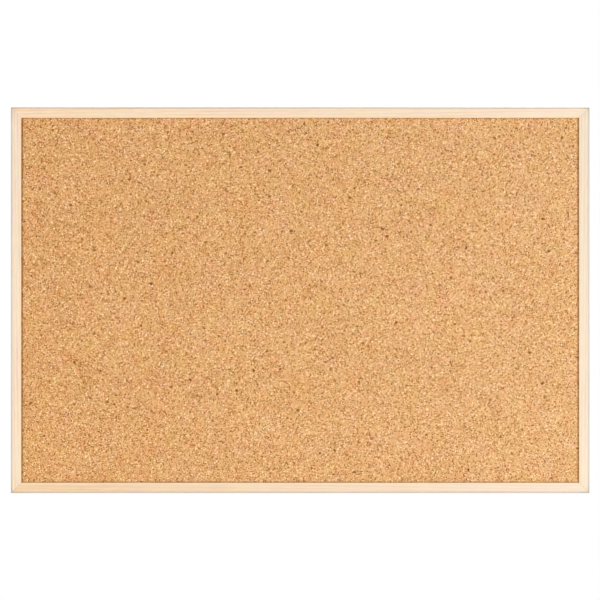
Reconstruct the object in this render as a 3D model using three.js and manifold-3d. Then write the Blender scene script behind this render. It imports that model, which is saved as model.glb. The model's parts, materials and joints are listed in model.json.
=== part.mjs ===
// A framed cork notice board, 900 by 600 mm, in millimetres.
// X runs along the board's width, Y from the pinning face back to the wall, and Z up.
// The origin lies midway between the two wall screws that the board hangs on, on the wall's surface.
import * as THREE from "three";
import { mergeVertices, toCreasedNormals } from "three/addons/utils/BufferGeometryUtils.js";
import Module from "manifold-3d";

const wasm = await Module();
wasm.setup();

// Whole board
const BOARD_WIDTH = 900;
const BOARD_HEIGHT = 600;
const CORNER_ROUND = 1.2; // sanding on the four outer corners
const CUT_OVERRUN = 5; // how far a cutter passes the wood or metal that it cuts

// Panel, in the order of its layers from the front
const CORK_THICKNESS = 2;
const CORE_THICKNESS = 7;
const PAPER_THICKNESS = 0.5;
const GLUE_LINE = 0.1;

// Frame rail section: a stick with one groove, which holds the panel by its edges
const RAIL_FACE = 16.5; // width of wood seen from the front
const FRONT_LIP = 3;
const BACK_LIP = 4.7;
const GROOVE_DEPTH = 7;
const PANEL_PLAY = 0.3; // between the panel and each side of the groove
const PANEL_EXPANSION = 0.8; // between the panel's edge and the groove's floor
const OUTER_ARRIS = 3;
const INNER_ARRIS = 1;
const BACK_ARRIS = 0.8;
const MITRE_JOINT = 0.2; // glue line between two mitred ends

// V-nails, pressed into the back of each mitre
const NAIL_INSETS = { outer: 2.8, inner: 6.6 }; // outer edge of the frame to the point of the V
const NAIL_LEG = 5;
const NAIL_LIP = 1;
const NAIL_STEEL = 0.5;
const NAIL_HEIGHT = 10;
const NAIL_BEVEL = 1.2; // ground length of the leading edge
const NAIL_EDGE = 0.12; // steel left at the leading edge
const NAIL_RECESS = 0.3; // below the back of the frame
const NAIL_FIT = 0.2; // wood to steel, all round
const NAIL_LIP_ANGLE = Math.PI / 5;

// D-ring hangers, one on the back of each stile
const HANGER_DROP = 70; // top edge of the board to the ring's axis
const HANGER_INSET = 7; // outer edge of the stile to the middle of the strap
const STRAP_WIDTH = 7;
const STRAP_STEEL = 0.8;
const STRAP_LAYER_GAP = 0.1; // between the two folded layers
const STRAP_BEND = 1.2; // radius where the fold comes back down to the lower layer
const EYE_PLAY = 0.25; // wire to the inside of the eye
const WIRE_DIAMETER = 1.8;
const RING_INNER_WIDTH = 9.4;
const RING_HEIGHT = 11.5; // ring's axis to the middle of the wire at its crown
const RING_CORNER = 1.6;
const RING_BUTT_GAP = 0.4; // where the ends of the wire meet, inside the eye

// Pan-head screw through each strap
const SCREW_DROP = 6.6; // ring's axis to the screw
const SCREW_LENGTH = 12;
const SHANK_DIAMETER = 3;
const TIP_LENGTH = 3.5;
const HEAD_DIAMETER = 6;
const HEAD_HEIGHT = 1.9;
const HEAD_RIM = 0.5; // straight edge of the head, under its dome
const RECESS_SPAN = 3.2;
const RECESS_WIDTH = 0.8;
const RECESS_DEPTH = 1.1;
const SCREW_FIT = 0.2; // shank to the strap's hole and to the pilot hole
const PILOT_RELIEF = 0.6; // pilot hole past the screw's point

// What the board hangs on
const WALL_SCREW_DIAMETER = 4;

// Facets
const ARRIS_STEPS = 8;
const BEND_STEPS = 10;
const ROUND_SIDES = 28;
const DOME_STEPS = 7;
const WIRE_SIDES = 16;
const RING_STEPS = 72;
const SMOOTH_ANGLE = Math.PI / 6;
const SAME_POINT = 0.001; // points of a line that lie closer than this are one point

// Worked out from the sizes above
const panelThickness = CORK_THICKNESS + CORE_THICKNESS + PAPER_THICKNESS + 2 * GLUE_LINE;
const railDepth = FRONT_LIP + panelThickness + 2 * PANEL_PLAY + BACK_LIP;
const grooveFloor = RAIL_FACE - GROOVE_DEPTH;
const wireRadius = WIRE_DIAMETER / 2;
const eyeRadius = wireRadius + EYE_PLAY + STRAP_STEEL / 2; // to the middle of the strap's steel
const eyeHeight = STRAP_STEEL / 2 + eyeRadius; // back of the frame to the ring's axis
const standOff = eyeHeight + eyeRadius + STRAP_STEEL / 2; // back of the frame to the wall
const strapStack = 2 * STRAP_STEEL + STRAP_LAYER_GAP;
const shankRadius = SHANK_DIAMETER / 2;

const backY = -standOff;
const frontY = backY - railDepth;
const axisZ = WALL_SCREW_DIAMETER / 2 + wireRadius - RING_HEIGHT;
const topZ = axisZ + HANGER_DROP;
const middleZ = topZ - BOARD_HEIGHT / 2;
const bottomZ = topZ - BOARD_HEIGHT;

const material = (color, roughness, metalness = 0) =>
  new THREE.MeshStandardMaterial({ color, roughness, metalness });
const pine = material(0xf2d2a9, 0.6);
const cork = material(0xdca871, 0.9);
const softboard = material(0xb59a72, 0.95);
const kraftPaper = material(0xb08a5c, 0.85);
const brightSteel = material(0xb4b6b8, 0.35, 1);
const zincPlate = material(0xc9cacc, 0.3, 1);

// A closed geometry as a solid that can be cut.
function solidOf(geometry) {
  geometry.deleteAttribute("normal");
  geometry.deleteAttribute("uv");
  const merged = mergeVertices(geometry);
  return new wasm.Manifold(
    new wasm.Mesh({
      numProp: 3,
      vertProperties: merged.attributes.position.array,
      triVerts: new Uint32Array(merged.index.array),
    }),
  );
}

function geometryOf(solid) {
  const mesh = solid.getMesh();
  const geometry = new THREE.BufferGeometry();
  geometry.setAttribute("position", new THREE.BufferAttribute(mesh.vertProperties, 3));
  geometry.setIndex(new THREE.BufferAttribute(mesh.triVerts, 1));
  return toCreasedNormals(geometry, SMOOTH_ANGLE);
}

function meshOf(name, solid, finish) {
  const mesh = new THREE.Mesh(geometryOf(solid), finish);
  mesh.name = name;
  return mesh;
}

// An outline drawn in (depth, height) and pulled along X, centred on X = 0.
function pullAlongX(outline, length) {
  const axes = [[0, 1, 0], [0, 0, 1], [1, 0, 0]].map((axis) => new THREE.Vector3(...axis));
  return new THREE.ExtrudeGeometry(outline, {
    depth: length,
    bevelEnabled: false,
    curveSegments: ARRIS_STEPS,
  })
    .translate(0, 0, -length / 2)
    .applyMatrix4(new THREE.Matrix4().makeBasis(...axes));
}

// An outline drawn in (width, height) and pulled along Y, from nearY to farY.
function pullAlongY(outline, nearY, farY) {
  const axes = [[1, 0, 0], [0, 0, 1], [0, -1, 0]].map((axis) => new THREE.Vector3(...axis));
  return new THREE.ExtrudeGeometry(outline, {
    depth: farY - nearY,
    bevelEnabled: false,
    curveSegments: ARRIS_STEPS,
  })
    .applyMatrix4(new THREE.Matrix4().makeBasis(...axes))
    .translate(0, farY, 0);
}

// The points of a line, without the doubled ones where its pieces meet.
function pointsAlong(line, steps) {
  return line
    .getPoints(steps)
    .filter((point, i, all) => i === 0 || point.distanceTo(all[i - 1]) > SAME_POINT);
}

// The outline of a strip of steel of one thickness that follows a line of points.
function stripOutline(points, thickness) {
  const direction = (a, b) => points[b].clone().sub(points[a]).normalize();
  const last = points.length - 1;
  const offsets = points.map((point, i) => {
    const before = direction(Math.max(i - 1, 0), Math.max(i, 1));
    const after = direction(Math.min(i, last - 1), Math.min(i + 1, last));
    const along = before.clone().add(after).normalize();
    const reach = thickness / 2 / along.dot(after);
    return new THREE.Vector2(-along.y, along.x).multiplyScalar(reach);
  });
  const left = points.map((point, i) => point.clone().add(offsets[i]));
  const right = points.map((point, i) => point.clone().sub(offsets[i]));
  return [...left, ...right.reverse()];
}

// A closed skin over outlines of equally many points in (width, height), each at its own Y, far to near.
function loftAlongY(sections) {
  const count = sections[0].outline.length;
  const position = sections.flatMap(({ outline, y }) => outline.flatMap((p) => [p.x, y, p.y]));
  const index = [];
  for (let s = 0; s + 1 < sections.length; s++) {
    for (let i = 0; i < count; i++) {
      const a = s * count + i;
      const b = s * count + ((i + 1) % count);
      index.push(a, b, b + count, a, b + count, a + count);
    }
  }
  const cap = (outline, first, turn) =>
    THREE.ShapeUtils.triangulateShape(outline, []).forEach(([a, b, c]) =>
      index.push(...(turn ? [first + a, first + b, first + c] : [first + a, first + c, first + b])),
    );
  const clockwise = THREE.ShapeUtils.isClockWise(sections[0].outline);
  cap(sections[0].outline, 0, clockwise);
  cap(sections.at(-1).outline, (sections.length - 1) * count, !clockwise);
  if (clockwise) {
    index.reverse();
  }
  return new THREE.BufferGeometry()
    .setAttribute("position", new THREE.Float32BufferAttribute(position, 3))
    .setIndex(index);
}

// Frame rail: X runs along the stick, Z = 0 is its outer edge and the inner edge is below it.
// Y = 0 is its face and the back is at railDepth.
function railOutline() {
  const outline = new THREE.Shape();
  outline.moveTo(OUTER_ARRIS, 0);
  outline.lineTo(railDepth - BACK_ARRIS, 0);
  outline.absarc(railDepth - BACK_ARRIS, -BACK_ARRIS, BACK_ARRIS, Math.PI / 2, 0, true);
  outline.lineTo(railDepth, BACK_ARRIS - RAIL_FACE);
  outline.absarc(railDepth - BACK_ARRIS, BACK_ARRIS - RAIL_FACE, BACK_ARRIS, 0, -Math.PI / 2, true);
  outline.lineTo(railDepth - BACK_LIP, -RAIL_FACE);
  outline.lineTo(railDepth - BACK_LIP, -grooveFloor);
  outline.lineTo(FRONT_LIP, -grooveFloor);
  outline.lineTo(FRONT_LIP, -RAIL_FACE);
  outline.lineTo(INNER_ARRIS, -RAIL_FACE);
  outline.absarc(INNER_ARRIS, INNER_ARRIS - RAIL_FACE, INNER_ARRIS, -Math.PI / 2, -Math.PI, true);
  outline.lineTo(0, -OUTER_ARRIS);
  outline.absarc(OUTER_ARRIS, -OUTER_ARRIS, OUTER_ARRIS, Math.PI, Math.PI / 2, true);
  return outline;
}

// What sanding takes off the frame's outer corner at (0, 0).
function cornerSanding() {
  const outline = new THREE.Shape();
  outline.moveTo(CORNER_ROUND, CUT_OVERRUN);
  outline.lineTo(CORNER_ROUND, 0);
  outline.absarc(CORNER_ROUND, -CORNER_ROUND, CORNER_ROUND, Math.PI / 2, Math.PI, false);
  outline.lineTo(-CUT_OVERRUN, -CORNER_ROUND);
  outline.lineTo(-CUT_OVERRUN, CUT_OVERRUN);
  return pullAlongY(outline, -CUT_OVERRUN, railDepth + CUT_OVERRUN);
}

// Middle of a V-nail's steel, seen from the back, with the frame's outer corner at (0, 0).
// One leg runs along each rail and the lips at their ends turn out to grip the wood.
function nailLine(inset, extra) {
  const leg = inset + NAIL_LEG;
  const lip = NAIL_LIP + extra;
  const along = lip * Math.cos(NAIL_LIP_ANGLE);
  const out = lip * Math.sin(NAIL_LIP_ANGLE);
  return [
    new THREE.Vector2(leg + along, out - inset),
    new THREE.Vector2(leg, -inset),
    new THREE.Vector2(inset, -inset),
    new THREE.Vector2(inset, -leg),
    new THREE.Vector2(inset - out, -leg - along),
  ];
}

function nailSolid(inset) {
  const line = nailLine(inset, 0);
  const head = railDepth - NAIL_RECESS;
  return solidOf(
    loftAlongY([
      { outline: stripOutline(line, NAIL_STEEL), y: head },
      { outline: stripOutline(line, NAIL_STEEL), y: head - NAIL_HEIGHT + NAIL_BEVEL },
      { outline: stripOutline(line, NAIL_EDGE), y: head - NAIL_HEIGHT },
    ]),
  );
}

function nailSlot(inset) {
  const outline = stripOutline(nailLine(inset, NAIL_FIT), NAIL_STEEL + 2 * NAIL_FIT);
  const floor = railDepth - NAIL_RECESS - NAIL_HEIGHT - NAIL_FIT;
  return pullAlongY(new THREE.Shape(outline), floor, railDepth + CUT_OVERRUN);
}

// One rail with its two mitred ends. Further cutters, in the rail's own axes, come after them.
function railSolid(length, cutters = []) {
  const stick = solidOf(pullAlongX(railOutline(), length));
  const mitrePlane = MITRE_JOINT / 2 - (length / 2) * Math.SQRT1_2;
  const mitred = [1, -1].reduce(
    (wood, inward) => wood.trimByPlane([inward * Math.SQRT1_2, 0, Math.SQRT1_2], mitrePlane),
    stick,
  );
  const cornerCutters = [0, 1].flatMap((end) =>
    [cornerSanding(), ...Object.values(NAIL_INSETS).map(nailSlot)].map((cut) =>
      cut.rotateY((end * Math.PI) / 2).translate((end - 1 / 2) * length, 0, 0),
    ),
  );
  return [...cornerCutters, ...cutters].reduce((wood, cut) => wood.subtract(solidOf(cut)), mitred);
}

// The pilot hole in a stile. The stile's own X runs down the board where down is 1, and up where it is -1.
function pilotHole(down) {
  const depth = SCREW_LENGTH - strapStack + PILOT_RELIEF;
  const radius = shankRadius + SCREW_FIT;
  const alongStile = down * (HANGER_DROP + SCREW_DROP - BOARD_HEIGHT / 2);
  return new THREE.CylinderGeometry(radius, radius, depth + CUT_OVERRUN, ROUND_SIDES).translate(
    alongStile,
    railDepth + (CUT_OVERRUN - depth) / 2,
    -HANGER_INSET,
  );
}

function buildFrame() {
  const frame = new THREE.Group();
  const halfWidth = BOARD_WIDTH / 2;
  const rails = [
    { name: "top_rail", length: BOARD_WIDTH, place: [0, topZ], quarterTurns: 0 },
    { name: "right_stile", length: BOARD_HEIGHT, place: [halfWidth, middleZ], quarterTurns: 1, down: 1 },
    { name: "bottom_rail", length: BOARD_WIDTH, place: [0, bottomZ], quarterTurns: 2 },
    { name: "left_stile", length: BOARD_HEIGHT, place: [-halfWidth, middleZ], quarterTurns: -1, down: -1 },
  ];
  for (const { name, length, place, quarterTurns, down } of rails) {
    const rail = meshOf(name, railSolid(length, down ? [pilotHole(down)] : []), pine);
    rail.position.set(place[0], frontY, place[1]);
    rail.rotation.y = (quarterTurns * Math.PI) / 2;
    frame.add(rail);
  }
  return frame;
}

function buildNails() {
  const nails = new THREE.Group();
  const corners = [
    { place: "top_left", x: -BOARD_WIDTH / 2, z: topZ },
    { place: "top_right", x: BOARD_WIDTH / 2, z: topZ },
    { place: "bottom_right", x: BOARD_WIDTH / 2, z: bottomZ },
    { place: "bottom_left", x: -BOARD_WIDTH / 2, z: bottomZ },
  ];
  corners.forEach(({ place, x, z }, quarterTurns) => {
    const corner = new THREE.Group();
    corner.position.set(x, frontY, z);
    corner.rotation.y = (quarterTurns * Math.PI) / 2;
    for (const [row, inset] of Object.entries(NAIL_INSETS)) {
      corner.add(meshOf(`v_nail_${place}_${row}`, nailSolid(inset), brightSteel));
    }
    nails.add(corner);
  });
  return nails;
}

// The panel: cork on softboard, with paper on the back to keep it flat. Its edges stand in the grooves.
function buildPanel() {
  const panel = new THREE.Group();
  const tuckedIn = 2 * (grooveFloor + PANEL_EXPANSION);
  const layers = [
    { name: "cork_sheet", thickness: CORK_THICKNESS, finish: cork },
    { name: "softboard_core", thickness: CORE_THICKNESS, finish: softboard },
    { name: "backing_paper", thickness: PAPER_THICKNESS, finish: kraftPaper },
  ];
  let layerFront = frontY + FRONT_LIP + PANEL_PLAY;
  for (const { name, thickness, finish } of layers) {
    const sheet = new THREE.BoxGeometry(BOARD_WIDTH - tuckedIn, thickness, BOARD_HEIGHT - tuckedIn);
    const layer = new THREE.Mesh(sheet, finish);
    layer.name = name;
    layer.position.set(0, layerFront + thickness / 2, middleZ);
    panel.add(layer);
    layerFront += thickness + GLUE_LINE;
  }
  return panel;
}

// Hanger pieces: Y = 0 is the back of the stile and Z = 0 is the ring's axis.
// The strap is one strip, folded round the ring's bar so that the two layers lie on each other.
function strapSolid() {
  const lowerY = STRAP_STEEL / 2;
  const upperY = STRAP_STEEL + STRAP_LAYER_GAP + STRAP_STEEL / 2;
  const bendY = upperY + STRAP_BEND;
  const bendZ = -Math.sqrt((eyeRadius + STRAP_BEND) ** 2 - (bendY - eyeHeight) ** 2);
  const meet = Math.atan2(bendZ, bendY - eyeHeight); // where the eye meets the bend back
  const strapEnd = -SCREW_DROP - STRAP_WIDTH / 2;
  const fold = new THREE.Path();
  fold.moveTo(lowerY, strapEnd - CUT_OVERRUN);
  fold.lineTo(lowerY, 0);
  fold.absarc(eyeHeight, 0, eyeRadius, Math.PI, meet, true);
  fold.absarc(bendY, bendZ, STRAP_BEND, meet + Math.PI, Math.PI, false);
  fold.lineTo(upperY, strapEnd - CUT_OVERRUN);
  const side = new THREE.Shape(stripOutline(pointsAlong(fold, BEND_STEPS), STRAP_STEEL));
  const strip = solidOf(pullAlongX(side, STRAP_WIDTH + CUT_OVERRUN));

  const plan = new THREE.Shape();
  plan.moveTo(STRAP_WIDTH / 2, standOff);
  plan.lineTo(-STRAP_WIDTH / 2, standOff);
  plan.lineTo(-STRAP_WIDTH / 2, -SCREW_DROP);
  plan.absarc(0, -SCREW_DROP, STRAP_WIDTH / 2, Math.PI, 2 * Math.PI, false);
  const blank = solidOf(pullAlongY(plan, -CUT_OVERRUN, standOff + CUT_OVERRUN));

  const holeRadius = shankRadius + SCREW_FIT;
  const hole = new THREE.CylinderGeometry(holeRadius, holeRadius, standOff + CUT_OVERRUN, ROUND_SIDES);
  return strip.intersect(blank).subtract(solidOf(hole.translate(0, 0, -SCREW_DROP)));
}

// The ring is bent from one length of wire. Its bar lies in the strap's eye and its crown points up.
function ringGeometry() {
  const side = (RING_INNER_WIDTH + WIRE_DIAMETER) / 2;
  const bend = side - RING_CORNER;
  const line = new THREE.Path();
  line.moveTo(RING_BUTT_GAP / 2, 0);
  line.lineTo(bend, 0);
  line.absarc(bend, RING_CORNER, RING_CORNER, -Math.PI / 2, 0, false);
  line.lineTo(side, RING_HEIGHT - side);
  line.absarc(0, RING_HEIGHT - side, side, 0, Math.PI, false);
  line.lineTo(-side, RING_CORNER);
  line.absarc(-bend, RING_CORNER, RING_CORNER, Math.PI, (3 * Math.PI) / 2, false);
  line.lineTo(-RING_BUTT_GAP / 2, 0);
  const middle = line.getSpacedPoints(RING_STEPS).map((p) => new THREE.Vector3(p.x, 0, p.y));
  const section = new THREE.Shape().absarc(0, 0, wireRadius, 0, 2 * Math.PI);
  return new THREE.ExtrudeGeometry(section, {
    steps: RING_STEPS,
    curveSegments: WIRE_SIDES / 2, // a full circle gets two sides for each
    extrudePath: new THREE.CatmullRomCurve3(middle),
  });
}

// Y = 0 is the underside of the screw's head, and its point is below that.
function screwSolid() {
  const headRadius = HEAD_DIAMETER / 2;
  const domeHeight = HEAD_HEIGHT - HEAD_RIM;
  const profile = [
    new THREE.Vector2(0, -SCREW_LENGTH),
    new THREE.Vector2(shankRadius, TIP_LENGTH - SCREW_LENGTH),
    new THREE.Vector2(shankRadius, 0),
    new THREE.Vector2(headRadius, 0),
  ];
  for (let step = 0; step <= DOME_STEPS; step++) {
    const angle = (step / DOME_STEPS) * (Math.PI / 2);
    const radius = step < DOME_STEPS ? headRadius * Math.cos(angle) : 0;
    profile.push(new THREE.Vector2(radius, HEAD_RIM + domeHeight * Math.sin(angle)));
  }
  const turned = solidOf(new THREE.LatheGeometry(profile, ROUND_SIDES));
  return [0, 1].reduce((screw, quarterTurns) => {
    const slot = new THREE.BoxGeometry(RECESS_SPAN, RECESS_DEPTH + CUT_OVERRUN, RECESS_WIDTH)
      .translate(0, HEAD_HEIGHT + (CUT_OVERRUN - RECESS_DEPTH) / 2, 0)
      .rotateY(((quarterTurns + 1 / 2) * Math.PI) / 2);
    return screw.subtract(solidOf(slot));
  }, turned);
}

function buildHanger(side, x) {
  const hanger = new THREE.Group();
  hanger.position.set(x, backY, axisZ);
  hanger.add(meshOf(`${side}_hanger_strap`, strapSolid(), zincPlate));

  const ring = new THREE.Mesh(ringGeometry(), zincPlate);
  ring.name = `${side}_d_ring`;
  ring.position.y = eyeHeight;
  hanger.add(ring);

  const screw = meshOf(`${side}_hanger_screw`, screwSolid(), brightSteel);
  screw.position.set(0, strapStack, -SCREW_DROP);
  hanger.add(screw);
  return hanger;
}

const corkBoard = new THREE.Group();
corkBoard.add(
  buildFrame(),
  buildPanel(),
  buildNails(),
  buildHanger("left", HANGER_INSET - BOARD_WIDTH / 2),
  buildHanger("right", BOARD_WIDTH / 2 - HANGER_INSET),
);

export default corkBoard;
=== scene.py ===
# %% [markdown]
# A cork notice board
#
# This lesson dresses a framed cork board, 900 by 600 mm, so that it looks like the real thing. The
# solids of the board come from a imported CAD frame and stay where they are. Where a solid has the
# right shape it only gets a material. Where the real piece has more in it than the solid, such as
# the relief of the cork, a finer mesh takes its place. Everything is in metres. X runs along the
# board, Y from the cork back to the wall, and Z up.

# %% Load the board's frame
import json
import math

import bmesh
import bpy
import numpy as np
from mathutils import Matrix, Vector


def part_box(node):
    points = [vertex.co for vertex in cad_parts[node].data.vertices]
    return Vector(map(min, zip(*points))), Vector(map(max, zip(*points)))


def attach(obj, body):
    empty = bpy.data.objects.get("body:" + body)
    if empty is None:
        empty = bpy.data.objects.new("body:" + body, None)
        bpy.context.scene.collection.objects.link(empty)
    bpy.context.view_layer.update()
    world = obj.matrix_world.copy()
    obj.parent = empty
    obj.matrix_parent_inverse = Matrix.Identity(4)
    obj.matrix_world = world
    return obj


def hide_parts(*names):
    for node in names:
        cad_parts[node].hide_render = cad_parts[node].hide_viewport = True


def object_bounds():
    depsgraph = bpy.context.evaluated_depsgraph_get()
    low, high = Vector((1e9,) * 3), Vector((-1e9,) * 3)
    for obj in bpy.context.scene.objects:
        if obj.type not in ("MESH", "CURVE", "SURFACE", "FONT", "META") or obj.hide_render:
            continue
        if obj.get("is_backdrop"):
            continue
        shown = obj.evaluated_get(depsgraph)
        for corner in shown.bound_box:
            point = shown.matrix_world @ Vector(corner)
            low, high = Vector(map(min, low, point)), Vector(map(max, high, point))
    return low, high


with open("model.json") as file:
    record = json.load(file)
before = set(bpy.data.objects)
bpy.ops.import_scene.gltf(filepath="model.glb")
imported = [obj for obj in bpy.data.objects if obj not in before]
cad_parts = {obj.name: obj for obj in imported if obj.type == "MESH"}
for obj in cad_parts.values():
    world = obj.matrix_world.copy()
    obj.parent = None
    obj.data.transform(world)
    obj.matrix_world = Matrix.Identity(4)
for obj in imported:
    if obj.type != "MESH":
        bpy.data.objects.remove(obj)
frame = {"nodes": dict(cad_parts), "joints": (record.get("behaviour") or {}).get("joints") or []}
cad_low, cad_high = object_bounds()
nodes = frame["nodes"]
MM = 0.001
print("nodes:", len(nodes), "box in mm:", [round(v / MM, 1) for v in cad_high - cad_low])

# %% [markdown]
# Three helpers serve the whole lesson. Colours are written as sRGB hex values, the way a paint chart
# or an image editor gives them, and the first helper turns them to the linear numbers that shaders
# compute with. The second adds a shader node, sets it up and links it, so that a material reads as
# a list of its layers. The third starts a material. An input goes by its label or its number. On a
# Map Range node 0 is the value, 1 and 2 are the range it comes from, and 3 and 4 the range it goes
# to, each 0 to 1 where nothing is given. On a Mix node 0 is the share, 2 and 3 are the two numbers
# or 6 and 7 the two colours, and output 2 is the colour.

# %% Colours and shader nodes


def linear(hex_colour):
    """An sRGB colour such as #C8A070 as linear red, green, blue and alpha."""
    parts = [int(hex_colour[i : i + 2], 16) / 255 for i in (1, 3, 5)]
    light = [c / 12.92 if c <= 0.04045 else ((c + 0.055) / 1.055) ** 2.4 for c in parts]
    return (*light, 1.0)


def add_node(tree, kind, inputs=None, stops=None, **settings):
    """Adds a shader node. An input is a plain value, or another node's output to link to."""
    node = tree.nodes.new("ShaderNode" + kind)
    for name, value in settings.items():
        setattr(node, name, value)
    if stops:
        ramp = node.color_ramp.elements
        while len(ramp) < len(stops):
            ramp.new(0.5)
        for element, (position, hex_colour) in zip(ramp, stops):
            element.position = position
            element.color = linear(hex_colour)
    for key, value in (inputs or {}).items():
        if isinstance(value, bpy.types.NodeSocket):
            tree.links.new(value, node.inputs[key])
        else:
            node.inputs[key].default_value = value
    return node


def new_material(name, **surface):
    """A material with nothing in it but its principled shader, whose constants are given here."""
    material = bpy.data.materials.new(name)
    material.use_nodes = True
    tree = material.node_tree
    tree.nodes.clear()
    shader = add_node(tree, "BsdfPrincipled", surface)
    add_node(tree, "OutputMaterial", {"Surface": shader.outputs["BSDF"]})
    return material, tree, shader


print("white is", linear("#FFFFFF"))

# %% [markdown]
# The camera of the photograph looks straight at the middle of the board from far away, because all
# four edges are parallel to the picture's and no side of the frame shows. A camera without
# perspective would match it too, but would make the views from other sides look odd. So the camera
# is placed 3 m in front of the frame's face, where the lip's inner side hardly shows. Its lens
# follows from the width that the picture takes in at that face, of which the board fills 579 of the
# 600 pixels. The board sits about a third of a millimetre low and to the right in the picture, so
# the camera stands that much higher and to the left.

# %% Camera
IMAGE_SIDE_PX = 600
BOARD_WIDTH_PX = 579.0
CAMERA_DISTANCE = 3.0
CAMERA_RISE = 0.36 * MM
CAMERA_LEFT = 0.3 * MM
SENSOR_WIDTH_MM = 36.0
LOW_RAILS = ("top_rail", "bottom_rail", "left_stile")
HIGH_RAILS = ("top_rail", "bottom_rail", "right_stile")

board_low = Vector(map(min, zip(*(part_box(n)[0] for n in LOW_RAILS))))
board_high = Vector(map(max, zip(*(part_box(n)[1] for n in HIGH_RAILS))))
board_middle = (board_low + board_high) / 2
board_size = board_high - board_low
view_width = board_size.x * IMAGE_SIDE_PX / BOARD_WIDTH_PX

camera_data = bpy.data.cameras.new("camera")
camera_data.sensor_width = SENSOR_WIDTH_MM
camera_data.lens = SENSOR_WIDTH_MM * CAMERA_DISTANCE / view_width
camera = bpy.data.objects.new("camera", camera_data)
camera.location = (
    board_middle.x - CAMERA_LEFT,
    board_low.y - CAMERA_DISTANCE,
    board_middle.z + CAMERA_RISE,
)
camera.rotation_euler = (math.radians(90), 0, 0)
bpy.context.scene.collection.objects.link(camera)
bpy.context.scene.camera = camera
print("lens:", round(camera_data.lens, 1), "mm, view width:", round(view_width / MM), "mm")

# %% [markdown]
# The photograph is lit as flat artwork is: one tall softbox on each side, well round to the side,
# so that nothing shines back into the lens. The frame's lip gives it away. It throws a thin dark
# line onto the cork on the left and on the right, but hardly one above and below. Both lines are
# equally dark, and about half as bright as the cork, as if one of two equal lamps were hidden.
# Small bare lamps would throw such lines too, but would show as points in the zinc of the hangers.
# A third lamp, high up behind, lights the back and the top for the other views. It doesn't reach
# the face.

# %% Lamps
LAMP_ANGLE = math.radians(46)
LAMP_DISTANCE = 4.0
LAMP_WIDTH = 1.0
LAMP_HEIGHT = 2.6
LAMP_WATTS = 92
LAMP_TINT = "#FFFAF9"
TOWARDS_BACK_LAMP = Vector((0.4, 1.0, 0.75))
BACK_LAMP_WATTS = 135
BACK_LAMP_TINT = "#FFFDFA"


def add_softbox(name, direction, watts, tint):
    """A rectangular area lamp that faces the middle of the board from a direction."""
    data = bpy.data.lights.new(name, "AREA")
    data.shape = "RECTANGLE"
    data.size = LAMP_WIDTH
    data.size_y = LAMP_HEIGHT
    data.energy = watts
    data.color = linear(tint)[:3]
    lamp = bpy.data.objects.new(name, data)
    lamp.location = board_middle + direction.normalized() * LAMP_DISTANCE
    lamp.rotation_euler = (-direction).to_track_quat("-Z", "Y").to_euler()
    bpy.context.scene.collection.objects.link(lamp)


for side, sign in (("left", -1), ("right", 1)):
    towards = Vector((sign * math.sin(LAMP_ANGLE), -math.cos(LAMP_ANGLE), 0))
    add_softbox(f"softbox_{side}", towards, LAMP_WATTS, LAMP_TINT)
add_softbox("softbox_behind", TOWARDS_BACK_LAMP, BACK_LAMP_WATTS, BACK_LAMP_TINT)

# %% [markdown]
# The background of the photograph is pure white. A white wall would do, but it would throw its own
# light on the board. So the world is white where the camera, a mirror image or a view through glass
# meets it, and otherwise it only gives the soft fill that the walls of a studio throw back.

# %% World
FILL_STRENGTH = 0.1

world = bpy.data.worlds.new("studio")
bpy.context.scene.world = world
world.use_nodes = True
sky = world.node_tree
sky.nodes.clear()
seen = add_node(sky, "LightPath").outputs
in_view = add_node(
    sky, "Math", {0: seen["Is Camera Ray"], 1: seen["Is Glossy Ray"]}, operation="MAXIMUM"
).outputs[0]
shows_white = add_node(
    sky, "Math", {0: in_view, 1: seen["Is Transmission Ray"]}, operation="MAXIMUM"
).outputs[0]
fill = add_node(sky, "Background", {"Color": linear("#FFFFFF"), "Strength": FILL_STRENGTH})
white = add_node(sky, "Background", {"Color": linear("#FFFFFF"), "Strength": 1.0})
either = add_node(sky, "MixShader", {0: shows_white, 1: fill.outputs[0], 2: white.outputs[0]})
add_node(sky, "OutputWorld", {"Surface": either.outputs[0]})
bpy.context.scene.view_settings.view_transform = "Standard"
print("world fill:", FILL_STRENGTH)

# %% [markdown]
# The board hangs free in the photograph, with nothing in sight below it. A pale floor lies 0.6 m
# under it, out of the photograph's frame, and grounds the views from higher up. A plain floor would
# end in an edge. To the camera this one is partly its own white and partly lit, so that it keeps
# the board's soft shadow, and towards its rim it turns all white and meets the background.

# %% Floor
FLOOR_DROP = 0.6
FLOOR_RADIUS = 2.4
FLOOR_SIDES = 96
FLOOR_GLOW = 0.55
FADE_START = 0.9

rim = [2 * math.pi * i / FLOOR_SIDES for i in range(FLOOR_SIDES)]
floor_z = board_low.z - FLOOR_DROP
floor_mesh = bpy.data.meshes.new("floor")
floor_mesh.from_pydata(
    [(FLOOR_RADIUS * math.cos(a), FLOOR_RADIUS * math.sin(a), floor_z) for a in rim],
    [],
    [tuple(range(FLOOR_SIDES))],
)
floor = bpy.data.objects.new("floor", floor_mesh)
bpy.context.scene.collection.objects.link(floor)

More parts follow.
